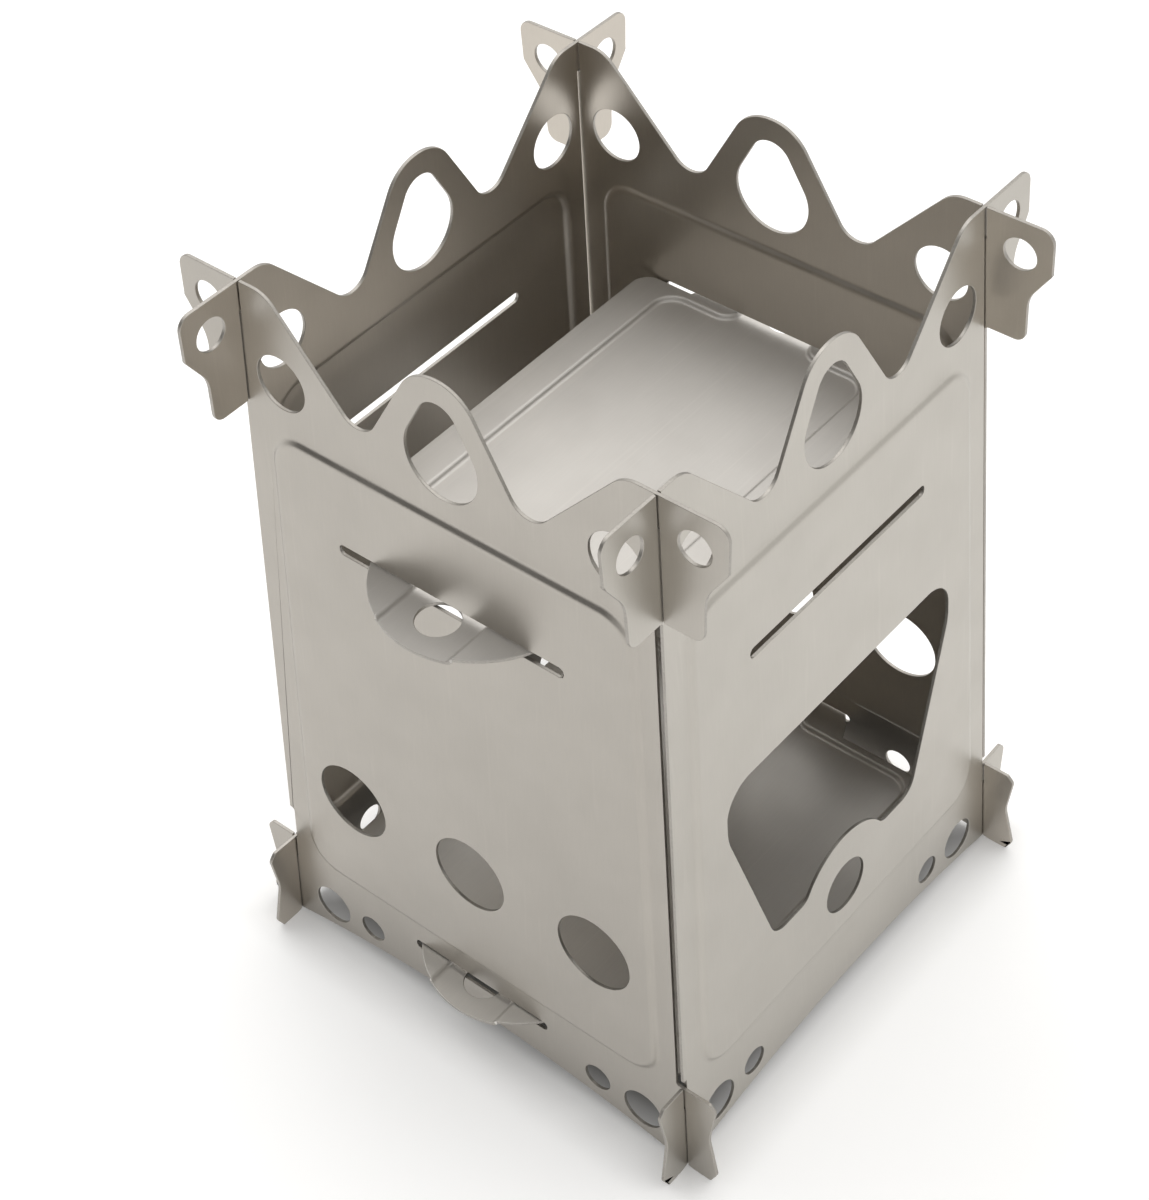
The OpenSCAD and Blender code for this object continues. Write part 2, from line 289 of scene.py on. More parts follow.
    def place(self, matrix: Matrix) -> None:
        """Moves the whole sheet."""
        bmesh.ops.transform(self.bm, matrix=matrix, verts=self.bm.verts)

    def finish(self, name: str, materials: Sequence[bpy.types.Material],
               edge: float) -> bpy.types.Object:
        """Makes the object.

        Args:
            name: Its name.
            materials: The finish of the sheet and of its cut edges.
            edge: Width of the broken edge, in metres.

        Returns:
            The object, at the origin, with its place in its mesh.
        """
        bmesh.ops.recalc_face_normals(self.bm, faces=self.bm.faces)
        mesh = bpy.data.meshes.new(name)
        self.bm.to_mesh(mesh)
        self.bm.free()
        for material in materials:
            mesh.materials.append(material)
        mesh.shade_smooth()
        piece = bpy.data.objects.new(name, mesh)
        bpy.context.scene.collection.objects.link(piece)
        broken = piece.modifiers.new("broken edges", "BEVEL")
        broken.width = edge
        broken.segments = self.BROKEN_STEPS
        broken.limit_method = "ANGLE"
        broken.angle_limit = self.BROKEN_ANGLE
        broken.use_clamp_overlap = False
        broken.harden_normals = True
        return piece


# --------------------------------------------------------------------------
# Sizes
# --------------------------------------------------------------------------


@dataclass(frozen=True)
class StoveSizes:
    """Sizes in millimetres that walls and plates share."""

    base_w: float = 117.7
    wall_h: float = 187.2
    lean: float = math.radians(2.5)
    sheet_t: float = 0.8
    press_d: float = 0.9
    high_slot_d: float = 55.1
    low_slot_v: float = 16.4
    dish_d: float = 1.0
    slot_play: float = 0.4
    slot_side_play: float = 1.1
    slot_r: float = 1.2
    plate_play: float = 0.4
    tab_r: float = 23.3
    tab_out: float = 7.45

    @property
    def high_slot_v(self) -> float:
        """Height of the slot under the crown."""
        return self.wall_h - self.high_slot_d

    @property
    def plate_h(self) -> float:
        """Height of a plate from the underside of its dish."""
        return self.dish_d + self.sheet_t

    @property
    def tab_reach(self) -> float:
        """How far the tabs reach from the middle."""
        return self.base_w / 2 + self.tab_out

    @property
    def tab_c(self) -> float:
        """Centre of a tab's rounded end."""
        return self.tab_reach - self.tab_r

    def edge_x(self, v: float) -> float:
        """Corner line on a wall's outer face at a height up the wall."""
        return self.base_w / 2 - v * math.sin(self.lean)

    def face_at(self, z: float) -> float:
        """Outer face of a wall at a height above the ground."""
        return self.base_w / 2 - z * math.tan(self.lean)

    def rise(self, v: float) -> float:
        """Height above the ground of a point in the middle of a wall's sheet."""
        return v * math.cos(self.lean) - self.sheet_t / 2 * math.sin(self.lean)


# --------------------------------------------------------------------------
# Finishes
# --------------------------------------------------------------------------


# Ranges that most, and nearly all, of a noise lies in
MOST = (0.3, 0.7)
NEARLY_ALL = (0.25, 0.75)


class Graph:
    """A small helper that writes the nodes of a material or of the room."""

    def __init__(self, owner: Union[bpy.types.Material, bpy.types.World]) -> None:
        """Clears the tree.

        Args:
            owner: The material or world.
        """
        owner.use_nodes = True
        self.tree = owner.node_tree
        self.tree.nodes.clear()

    def feed(self, socket: bpy.types.NodeSocket, value: Any) -> None:
        """Links a socket to another one, or sets its value.

        Args:
            socket: The input.
            value: An output socket or a plain value.
        """
        if isinstance(value, bpy.types.NodeSocket):
            self.tree.links.new(value, socket)
        else:
            socket.default_value = value

    def add(self, kind: str, **values: Any) -> Any:
        """Adds a node.

        Args:
            kind: Its type.
            values: Properties, sockets whose name starts with a capital, and
                sockets by their number after an underscore.

        Returns:
            The node.
        """
        node = self.tree.nodes.new(kind)
        for key, value in values.items():
            if key.startswith("_"):
                self.feed(node.inputs[int(key[1:])], value)
            elif key[0].isupper():
                self.feed(node.inputs[key.replace("_", " ")], value)
            else:
                setattr(node, key, value)
        return node

    def place(self, scale: RGB = (1.0, 1.0, 1.0),
              turn: RGB = (0.0, 0.0, 0.0)) -> bpy.types.NodeSocket:
        """Gives a place on the piece, stretched and turned.

        Args:
            scale: The stretch along each axis.
            turn: The turn round each axis.

        Returns:
            Object coordinates.
        """
        where = self.add("ShaderNodeTexCoord")
        return self.add("ShaderNodeMapping", Vector=where.outputs["Object"],
                        Scale=scale, Rotation=turn).outputs[0]

    def noise(self, where: bpy.types.NodeSocket, scale: float, detail: float = 2.0,
              rough: float = 0.5) -> bpy.types.NodeSocket:
        """A noise pattern from 0 to 1."""
        return self.add("ShaderNodeTexNoise", Vector=where, Scale=scale, Detail=detail,
                        Roughness=rough).outputs["Fac"]

    def span(self, value: bpy.types.NodeSocket, a: float, b: float, low: float,
             high: float) -> bpy.types.NodeSocket:
        """Maps a value from a..b to low..high."""
        return self.add("ShaderNodeMapRange", Value=value, From_Min=a, From_Max=b, To_Min=low,
                        To_Max=high).outputs[0]

    def math(self, operation: str, a: Any, b: Any = 0.0) -> bpy.types.NodeSocket:
        """The result of one operation on two values."""
        return self.add("ShaderNodeMath", operation=operation, _0=a, _1=b).outputs[0]

    def grey(self, value: bpy.types.NodeSocket) -> bpy.types.NodeSocket:
        """A grey of that brightness."""
        return self.add("ShaderNodeCombineColor", _0=value, _1=value, _2=value).outputs[0]

    def blend(self, factor: Any, a: Any, b: Any, way: str = "MIX") -> bpy.types.NodeSocket:
        """Mixes two colours.

        Args:
            factor: How much of the second one.
            a: The first colour.
            b: The second colour.
            way: The kind of mix.

        Returns:
            The colour.
        """
        node = self.add("ShaderNodeMix", data_type="RGBA", blend_type=way, _0=factor, _6=a, _7=b)
        return node.outputs[2]


class Grain(Enum):
    """The way the rolling marks run on a sheet, as the stretch of their pattern."""

    UPRIGHT = (1.0, 1.0, 0.05)
    ALONG_Y = (1.0, 0.05, 1.0)


@dataclass(frozen=True)
class SatinTitanium:
    """Bare rolled titanium sheet with a satin grain, faint mottling and hairlines."""

    name: str
    tint: RGB
    roughness: float
    grain: Grain
    grain_scale: float = 2600.0
    grain_bump: float = 0.015
    grain_depth: float = 0.0004
    grain_share: float = 0.7
    speck_scale: float = 1500.0
    speck_share: float = 0.3
    streaks: float = 0.02
    cloud_scale: float = 28.0
    mottle: float = 0.03
    patch_scale: float = 95.0
    patchiness: float = 0.03
    hairline_scale: float = 900.0
    hairline_stretch: float = 0.18
    hairline_turn: RGB = (0.05, 0.08, 0.03)
    hairline_range: tuple[float, float] = (0.66, 0.74)
    hairlines: float = 0.1
    hairline_gain: float = 1.25

    def _hairlines(self, g: Graph) -> bpy.types.NodeSocket:
        """Draws a few fine lines nearly along the grain.

        Args:
            g: The material's nodes.

        Returns:
            How strongly a hairline shows.
        """
        stretch = tuple(self.hairline_stretch * c if c < 1 else c for c in self.grain.value)
        lines = g.noise(g.place(stretch, self.hairline_turn), self.hairline_scale,
                        detail=1.0, rough=0.4)
        return g.span(lines, *self.hairline_range, 0.0, self.hairlines)

    def make(self) -> bpy.types.Material:
        """Builds the material.

        Returns:
            The material.
        """
        material = bpy.data.materials.new(self.name)
        g = Graph(material)
        plain = g.place()
        fine = g.noise(g.place(self.grain.value), self.grain_scale, detail=3.0, rough=0.65)
        speck = g.noise(plain, self.speck_scale, rough=0.6)
        cloud = g.noise(plain, self.cloud_scale, detail=3.0, rough=0.55)
        patch = g.noise(plain, self.patch_scale)
        shade = g.math("ADD", g.span(cloud, *MOST, 1 - self.mottle, 1 + self.mottle),
                       g.span(fine, *MOST, -self.streaks, self.streaks))
        base = g.blend(1.0, (*self.tint, 1.0), g.grey(shade), "MULTIPLY")
        bright = tuple(min(1.0, c * self.hairline_gain) for c in self.tint)
        base = g.blend(self._hairlines(g), base, (*bright, 1.0))
        rough = g.math("ADD", g.span(patch, *MOST, self.roughness - self.patchiness,
                                     self.roughness + self.patchiness),
                       g.span(fine, *NEARLY_ALL, -self.streaks, self.streaks))
        height = g.math("ADD", g.math("MULTIPLY", fine, self.grain_share),
                        g.math("MULTIPLY", speck, self.speck_share))
        bump = g.add("ShaderNodeBump", Strength=self.grain_bump, Distance=self.grain_depth,
                     Height=height).outputs[0]
        skin = g.add("ShaderNodeBsdfPrincipled", Base_Color=base, Metallic=1.0, Roughness=rough,
                     Normal=bump)
        g.add("ShaderNodeOutputMaterial", Surface=skin.outputs[0])
        return material


@dataclass(frozen=True)
class CutEdge:
    """The dull edge that the cutting left round each sheet and each hole."""

    name: str
    tint: RGB = (0.4, 0.38, 0.35)
    roughness: float = 0.45
    smoother: float = 0.06
    rougher: float = 0.08
    dull_scale: float = 160.0
    mark_scale: float = 2200.0
    mark_shade: tuple[float, float] = (0.86, 1.08)
    mark_bump: float = 0.04
    mark_depth: float = 0.0002

    def make(self) -> bpy.types.Material:
        """Builds the material.

        Returns:
            The material.
        """
        material = bpy.data.materials.new(self.name)
        g = Graph(material)
        marks = g.noise(g.place(), self.mark_scale, rough=0.6)
        dull = g.noise(g.place(), self.dull_scale)
        shade = g.span(marks, *NEARLY_ALL, *self.mark_shade)
        base = g.blend(1.0, (*self.tint, 1.0), g.grey(shade), "MULTIPLY")
        rough = g.span(dull, *MOST, self.roughness - self.smoother,
                       self.roughness + self.rougher)
        bump = g.add("ShaderNodeBump", Strength=self.mark_bump, Distance=self.mark_depth,
                     Height=marks).outputs[0]
        skin = g.add("ShaderNodeBsdfPrincipled", Base_Color=base, Metallic=1.0, Roughness=rough,
                     Normal=bump)
        g.add("ShaderNodeOutputMaterial", Surface=skin.outputs[0])
        return material


class PaintedLightTone(Enum):
    """The sheets by tint, roughness and grain. The tints are painted light and shade on one
    metal: darker on the front wall, lighter on the walls seen from inside and on the plates.
    """

    # Painted light and shade: each tint stands in for how much light that sheet catches, not for
    # a difference in the metal
    FRONT = (0.43, 0.405, 0.368), 0.37, Grain.UPRIGHT
    SIDE = (0.48, 0.457, 0.417), 0.37, Grain.UPRIGHT
    BACK = (0.535, 0.495, 0.44), 0.36, Grain.UPRIGHT
    UPPER_PLATE = (0.6, 0.581, 0.554), 0.59, Grain.ALONG_Y
    LOWER_PLATE = (0.7, 0.68, 0.647), 0.45, Grain.ALONG_Y

    def finish(self) -> SatinTitanium:
        """The finish of a sheet in that tone."""
        return SatinTitanium(f"{self.name.lower().replace('_', ' ')} sheet", *self.value)


@dataclass(frozen=True)
class Finishes:
    """The materials of the stove."""

    sheets: dict[PaintedLightTone, bpy.types.Material]
    cut: bpy.types.Material

    @classmethod
    def make(cls) -> "Finishes":
        """Builds all of them."""
        return cls({lit_tone: lit_tone.finish().make() for lit_tone in PaintedLightTone}, CutEdge("cut edge").make())


# --------------------------------------------------------------------------
# Walls
# --------------------------------------------------------------------------


class Lap(Enum):
    """How a wall's end meets its neighbour: its slots open upward or downward."""

    UNDER = "slots from above"
    UNDER_LOOSE = "slots from above, beside a wall that lifts out"
    OVER = "slots from below"
    OVER_APART = "slots from below, with a wider gap beside its edge"
    LOOSE = "slots from below, with room to lift the wall out"


class Press(Enum):
    """The way a wall's field is pressed, seen from outside."""

    OUT = -1
    IN = 1


class Mouth(Enum):
    """The openings in the pressed field of a wall."""

    VENTS = "three round vents"
    FUEL = "fuel opening and draught hole"


@dataclass(frozen=True)
class Wall:
    """One pressed wall. Sizes are in millimetres, on its outer face."""

    name: str
    node: str
    body: str
    turn: float
    right_lap: Lap
    left_lap: Lap
    mouth: Mouth = Mouth.VENTS
    low_slot: bool = True
    press: Press = Press.OUT
    lit_tone: PaintedLightTone = PaintedLightTone.BACK
    sizes: StoveSizes = StoveSizes()

    lap_reach: float = 7.15
    lap_play: float = 0.2
    lap_end_play: float = 0.15
    lap_share: float = 0.25
    lap_over: float = 2.0
    lap_r: float = 0.25
    side_gap: float = 1.25
    lip_rise: float = 3.0
    ear_h: float = 29.0
    ear_tip_h: float = 10.2
    ear_neck: float = 4.9
    ear_neck_r: float = 8.0
    ear_neck_share: float = 0.61
    ear_corner_r: float = 3.0
    ear_heel_r: float = 2.5
    foot_h: float = 26.6
    foot_drop_share: float = 0.4
    foot_waist: float = 1.6
    foot_waist_r: float = 9.0
    foot_waist_share: float = 0.53
    foot_top_share: float = 0.93
    foot_tip_share: float = 0.6
    foot_toe: float = 0.8
    foot_toe_h: float = 3.2
    foot_toe_r: float = 1.9
    heel_share: float = 0.975
    heel_r_share: float = 0.4
    valley_depth: float = 25.1
    valley_share: float = 0.473
    valley_r: float = 5.2
    shoulder_in: float = 7.6
    shoulder_r: float = 7.0
    peak_half: float = 5.85
    peak_r: float = 9.6
    egg_low_r: float = 9.1
    egg_high_r: float = 5.0
    egg_low_d: float = 18.85
    egg_high_d: float = 10.35
    crown_hole_r: float = 6.3
    crown_hole_d: float = 20.4
    crown_hole_in: float = 10.3
    ear_hole_r: float = 3.7
    ear_hole_d: float = 7.8
    ear_hole_in: float = 7.2
    press_in: float = 7.4
    press_low: float = 25.0
    press_top_d: float = 34.0
    press_r: float = 7.5
    bend: Bend = Bend(depth=0.9, radius=1.7, land=0.3)
    high_slot_half: float = 29.0
    vent_r: float = 9.65
    vent_pitch: float = 34.3
    vent_v: float = 54.5
    arch_h: float = 6.0
    arch_r: float = 310.0
    arch_in_v: float = 0.7
    arch_out_v: float = 0.2
    big_hole_r: float = 5.2
    big_hole_in: float = 12.35
    big_hole_v: float = 9.7
    small_hole_r: float = 3.5
    small_hole_gap: float = 12.7
    small_hole_v: float = 10.4
    fuel_top_d: float = 30.8
    fuel_top_half: float = 38.9
    fuel_top_r: float = 8.0
    fuel_side_h: float = 13.0
    fuel_side_r: float = 16.0
    fuel_low_v: float = 45.7
    fuel_low_half: float = 25.4
    fuel_low_r: float = 5.5
    draught_r: float = 6.9
    draught_v: float = 38.0
    fuel_arch_r: float = 16.0
    fuel_lobe_r: float = 3.6
    edge: float = 0.13

    @property
    def blank_half(self) -> float:
        """Half the width of the blank."""
        return self.sizes.base_w / 2 + self.lap_reach

    @property
    def lift_gap(self) -> float:
        """Clearance that lets the loose wall be lifted out of its laps."""
        return self.lap_play + self.ear_h * self.lap_share * math.sin(self.sizes.lean)

    @property
    def arch_c(self) -> float:
        """Height of the arch's centre, far below the ground."""
        return self.arch_h - self.arch_r

    def inner(self, v: float, gap: float) -> float:
        """Where the wall ends at a gap from the inner face of the wall beside it."""
        return self.sizes.edge_x(v) - self.sizes.sheet_t - gap

    def outer(self, v: float) -> float:
        """Outer side of the lap slots."""
        return self.sizes.edge_x(v) + self.lap_play

    def arch(self, start: float, end: float, steps: int) -> Arc:
        """A stretch of the arch between two distances from the middle."""
        return Arc(0, self.arch_c, self.arch_r, math.acos(start / self.arch_r),
                   math.acos(end / self.arch_r), steps)

    def arch_v(self, x: float) -> float:
        """Height of the arch at a distance from the middle."""
        return self.arch_c + math.sqrt(self.arch_r ** 2 - x ** 2)

    def _notch(self, opening: float, closed: float, gap: float, inward: bool) -> list[Station]:
        """Draws one lap slot in the outline.

        Args:
            opening: Height of its open end.
            closed: Height of its closed end.
            gap: Clearance on its inner side.
            inward: True if the outline crosses it towards the middle.

        Returns:
            Its corners.
        """
        notch = [
            Corner(self.outer(opening), opening),
            Corner(self.outer(closed), closed, self.lap_r, steps=4),
            Corner(self.inner(closed, gap), closed, self.lap_r, steps=4),
            Corner(self.inner(opening, gap), opening),
        ]
        return notch if inward else [*reversed(notch)]

    def _side(self, lap: Lap, foot_v: float, ear_v: float) -> list[Station]:
        """Draws the edge between foot and ear.

        Args:
            lap: How that end laps.
            foot_v: Height of the foot's top.
            ear_v: Height of the ear's lower edge.

        Returns:
            Its corners.
        """
        s = self.sizes
        gap = {Lap.OVER: self.lap_play, Lap.OVER_APART: self.side_gap, Lap.LOOSE: self.lift_gap}
        if lap in gap:
            return [Corner(self.inner(v, gap[lap]), v, s.sheet_t, steps=6)
                    for v in (foot_v, ear_v)]
        if lap is Lap.UNDER:
            low = self.foot_h + self.lap_over
            return [Corner(self.inner(low, self.lap_play), low), Corner(s.edge_x(low), low),
                    Corner(s.edge_x(ear_v), ear_v, s.sheet_t, steps=6)]
        lip_v = self.foot_h + self.ear_h * self.lap_share + self.lip_rise
        return [
            Corner(self.inner(foot_v, self.lift_gap), foot_v, self.lap_r, steps=4),
            Corner(self.inner(lip_v, self.lift_gap), lip_v, s.sheet_t, steps=6),
            Corner(s.edge_x(lip_v), lip_v, s.sheet_t / 2, steps=6),
            Corner(s.edge_x(ear_v), ear_v, s.sheet_t, steps=6),
        ]

    def _underside(self, lap: Lap, gap: float, notch_v: float) -> list[Station]:
        """Draws the arch from its middle to the foot, with a slot from below where there is one.

        Args:
            lap: How that end laps.
            gap: Clearance on the slot's inner side.
            notch_v: Height of the slot's closed end.

        Returns:
            Its stations.
        """
        low = self.sizes.sheet_t * math.tan(self.sizes.lean)
        reach = math.sqrt(self.arch_r ** 2 - (low - self.arch_c) ** 2)
        if lap in (Lap.UNDER, Lap.UNDER_LOOSE):
            return [self.arch(0.0, reach, 22)]
        x_in, x_out = self.inner(self.arch_in_v, gap), self.outer(self.arch_out_v)
        notch = self._notch(self.arch_v(x_out), notch_v, gap, False)
        return [self.arch(0.0, x_in, 20), *notch[1:3], self.arch(x_out, reach, 3)]

    def _foot(self) -> list[Station]:
        """Draws the foot from its heel to its top.

        Returns:
            Its corners.
        """
        low = self.sizes.sheet_t * math.tan(self.sizes.lean)
        heel, waist = self.blank_half * self.heel_share, self.blank_half - self.foot_waist
        return [
            Corner(heel + self.foot_toe, low, self.foot_toe_r * self.heel_r_share, steps=5),
            Corner(self.blank_half + self.foot_toe, self.foot_toe_h, self.foot_toe_r),
            Corner(waist, self.foot_h * self.foot_waist_share, self.foot_waist_r, steps=10),
            Corner(self.blank_half, self.foot_h * self.foot_top_share, self.foot_toe_r),
            Corner(waist, self.foot_h, self.foot_waist * self.foot_tip_share, steps=6),
        ]

    def _ear(self, ear_v: float, top: float) -> list[Station]:
        """Draws the ear from its lower edge to the top of the wall.

        Args:
            ear_v: Height of its lower edge.
            top: Height of the wall's top.

        Returns:
            Its corners.
        """
        neck, wall_h = self.blank_half - self.ear_neck, self.sizes.wall_h
        return [
            Corner(neck, ear_v, self.ear_heel_r),
            Corner(neck, wall_h - self.ear_h * self.ear_neck_share, self.ear_neck_r, steps=12),
            Corner(self.blank_half, wall_h - self.ear_tip_h, self.ear_corner_r / 2),
            Corner(self.blank_half, top, self.ear_corner_r),
        ]

    def end_outline(self, lap: Lap) -> list[Station]:
        """Draws the right half of the outline, from the middle of the arch to the middle peak.

        Args:
            lap: How that end laps.

        Returns:
            Its stations, seen from outside.
        """
        s = self.sizes
        top = s.wall_h - s.sheet_t * math.tan(s.lean)
        ear_v, ear_split = s.wall_h - self.ear_h, s.wall_h - self.ear_h * self.lap_share
        foot_v = self.foot_h - self.foot_drop_share * s.sheet_t
        foot_split = self.foot_h * (1 - self.lap_share)
        gap = self.lift_gap if lap is Lap.LOOSE else self.lap_play
        side = self._side(lap, foot_v, ear_v)
        crown: list[Station] = []
        if lap in (Lap.UNDER, Lap.UNDER_LOOSE):
            middle = self._notch(self.foot_h, foot_split - self.lap_end_play, gap, True)[:-1]
            if lap is Lap.UNDER_LOOSE:
                middle.append(Corner(self.inner(foot_v, gap), foot_v))
            middle += side
            crown += self._notch(top, ear_split - self.lap_end_play, gap, True)
        else:
            notch = self._notch(ear_v, ear_split + self.lap_end_play, gap, False)
            middle = (side if lap is Lap.OVER_APART else side[:1]) + notch
        shoulder = s.edge_x(s.wall_h) - self.shoulder_in
        crown += [
            Corner(shoulder, top, self.shoulder_r, steps=12),
            Corner(shoulder * self.valley_share, s.wall_h - self.valley_depth, self.valley_r,
                   steps=16),
            Corner(self.peak_half, top, self.peak_r, steps=12),
        ]
        under = self._underside(lap, gap, foot_split + self.lap_end_play)
        return under + self._foot() + middle + self._ear(ear_v, top) + crown

    def outline(self) -> list[Station]:
        """The whole outline of the wall."""
        return self.end_outline(self.right_lap) + flipped(self.end_outline(self.left_lap))

    def field(self, grow: float) -> list[Station]:
        """Outlines the middle of the step round the pressed field.

        Args:
            grow: A margin round it.

        Returns:
            Its corners.
        """
        s = self.sizes
        grow += s.sheet_t / 2
        low, high = self.press_low - grow, s.wall_h - self.press_top_d + grow
        right: list[Station] = [
            Corner(s.edge_x(v) - self.press_in + grow, v, self.press_r + grow, steps=16)
            for v in (low, high)
        ]
        return right + flipped(right)

    def slot(self, v: float, half: float) -> list[Station]:
        """Outlines a slot for a plate's tab.

        Args:
            v: Its height.
            half: Half its length.

        Returns:
            Its corners.
        """
        s = self.sizes
        h = s.plate_h / 2 + s.slot_play
        right: list[Station] = [Corner(half, v + way * h, s.slot_r, steps=6) for way in (-1, 1)]
        return right + flipped(right)

    def egg(self) -> list[Station]:
        """Outlines the egg-shaped hole in the middle peak.

        Returns:
            Its two arcs.
        """
        s = self.sizes
        a = math.asin((self.egg_low_r - self.egg_high_r) / (self.egg_low_d - self.egg_high_d))
        return [
            Arc(0, s.wall_h - self.egg_high_d, self.egg_high_r, a, math.pi - a, 20),
            Arc(0, s.wall_h - self.egg_low_d, self.egg_low_r, math.pi - a, 2 * math.pi + a, 44),
        ]

    def fuel(self) -> list[Station]:
        """Outlines the fuel opening.

        Returns:
            Its stations.
        """
        lobe_v = self.fuel_low_v + self.fuel_lobe_r
        y = lobe_v - self.draught_v
        lobe_x = math.sqrt((self.fuel_arch_r + self.fuel_lobe_r) ** 2 - y * y)
        a = math.atan2(y, lobe_x)
        top = self.sizes.high_slot_v - self.fuel_top_d
        right: list[Station] = [
            Arc(0, self.draught_v, self.fuel_arch_r, math.pi / 2, a, 16),
            Arc(lobe_x, lobe_v, self.fuel_lobe_r, math.pi + a, 1.5 * math.pi, 8),
            Corner(self.fuel_low_half, self.fuel_low_v, self.fuel_low_r, steps=12),
            Corner(self.fuel_top_half, top - self.fuel_side_h, self.fuel_side_r, steps=10),
            Corner(self.fuel_top_half, top, self.fuel_top_r, steps=14),
        ]
        return right + flipped(right)

    def rim_holes(self) -> list[list[Station]]:
        """Outlines the holes outside the pressed field.

        Returns:
            One outline for each hole.
        """
        s = self.sizes
        big = s.base_w / 2 - self.big_hole_in
        crown_v = s.wall_h - self.crown_hole_d
        crown, ear = s.edge_x(crown_v) - self.crown_hole_in, self.blank_half - self.ear_hole_in
        ear_v = s.wall_h - self.ear_hole_d
        holes = [self.egg()]
        for side in (-1, 1):
            holes += [
                circle(side * crown, crown_v, self.crown_hole_r),
                circle(side * ear, ear_v, self.ear_hole_r, steps=48),
                circle(side * big, self.big_hole_v, self.big_hole_r, steps=48),
                circle(side * (big - self.small_hole_gap), self.small_hole_v,
                       self.small_hole_r, steps=40),
            ]
        if self.low_slot:
            reach = s.face_at(s.rise(s.low_slot_v)) - s.sheet_t - s.tab_c
            half = math.sqrt(s.tab_r ** 2 - reach ** 2) + s.slot_side_play
            holes.append(self.slot(s.low_slot_v, half))
        return holes

    def field_holes(self) -> list[list[Station]]:
        """Outlines the holes in the pressed field.

        Returns:
            One outline for each hole.
        """
        holes = [self.slot(self.sizes.high_slot_v, self.high_slot_half)]
        if self.mouth is Mouth.FUEL:
            holes += [self.fuel(), circle(0, self.draught_v, self.draught_r)]
        else:
            holes += [circle(i * self.vent_pitch, self.vent_v, self.vent_r, steps=80)
                      for i in (-1, 0, 1)]
        return holes

    def build(self, finishes: Finishes) -> bpy.types.Object:
        """Makes the wall and stands it in its place.

        Args:
            finishes: The materials.

        Returns:
            The wall.
        """
        s = self.sizes
        reach = self.bend.reach
        sheet = Sheet()
        sheet.fill([self.outline(), self.field(reach), *self.rim_holes()])
        sheet.bend(self.field, self.bend)
        sheet.fill([self.field(-reach), *self.field_holes()], self.bend.depth)
        sheet.place(Matrix.Scale(self.press.value, 4, (0, 0, 1)))
        sheet.weld()
        sheet.thicken(s.sheet_t)
        sheet.place(
            Matrix.Scale(MM, 4)
            @ Matrix.Rotation(self.turn, 4, "Z")
            @ Matrix.Translation((0, -s.base_w / 2, 0))
            @ Matrix.Rotation(math.pi / 2 - s.lean, 4, "X")
        )
        piece = sheet.finish(self.name, (finishes.sheets[self.lit_tone], finishes.cut),
                             self.edge * MM)
        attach(piece, self.body)
        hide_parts(self.node)
        return piece


# --------------------------------------------------------------------------
# Plates
# --------------------------------------------------------------------------


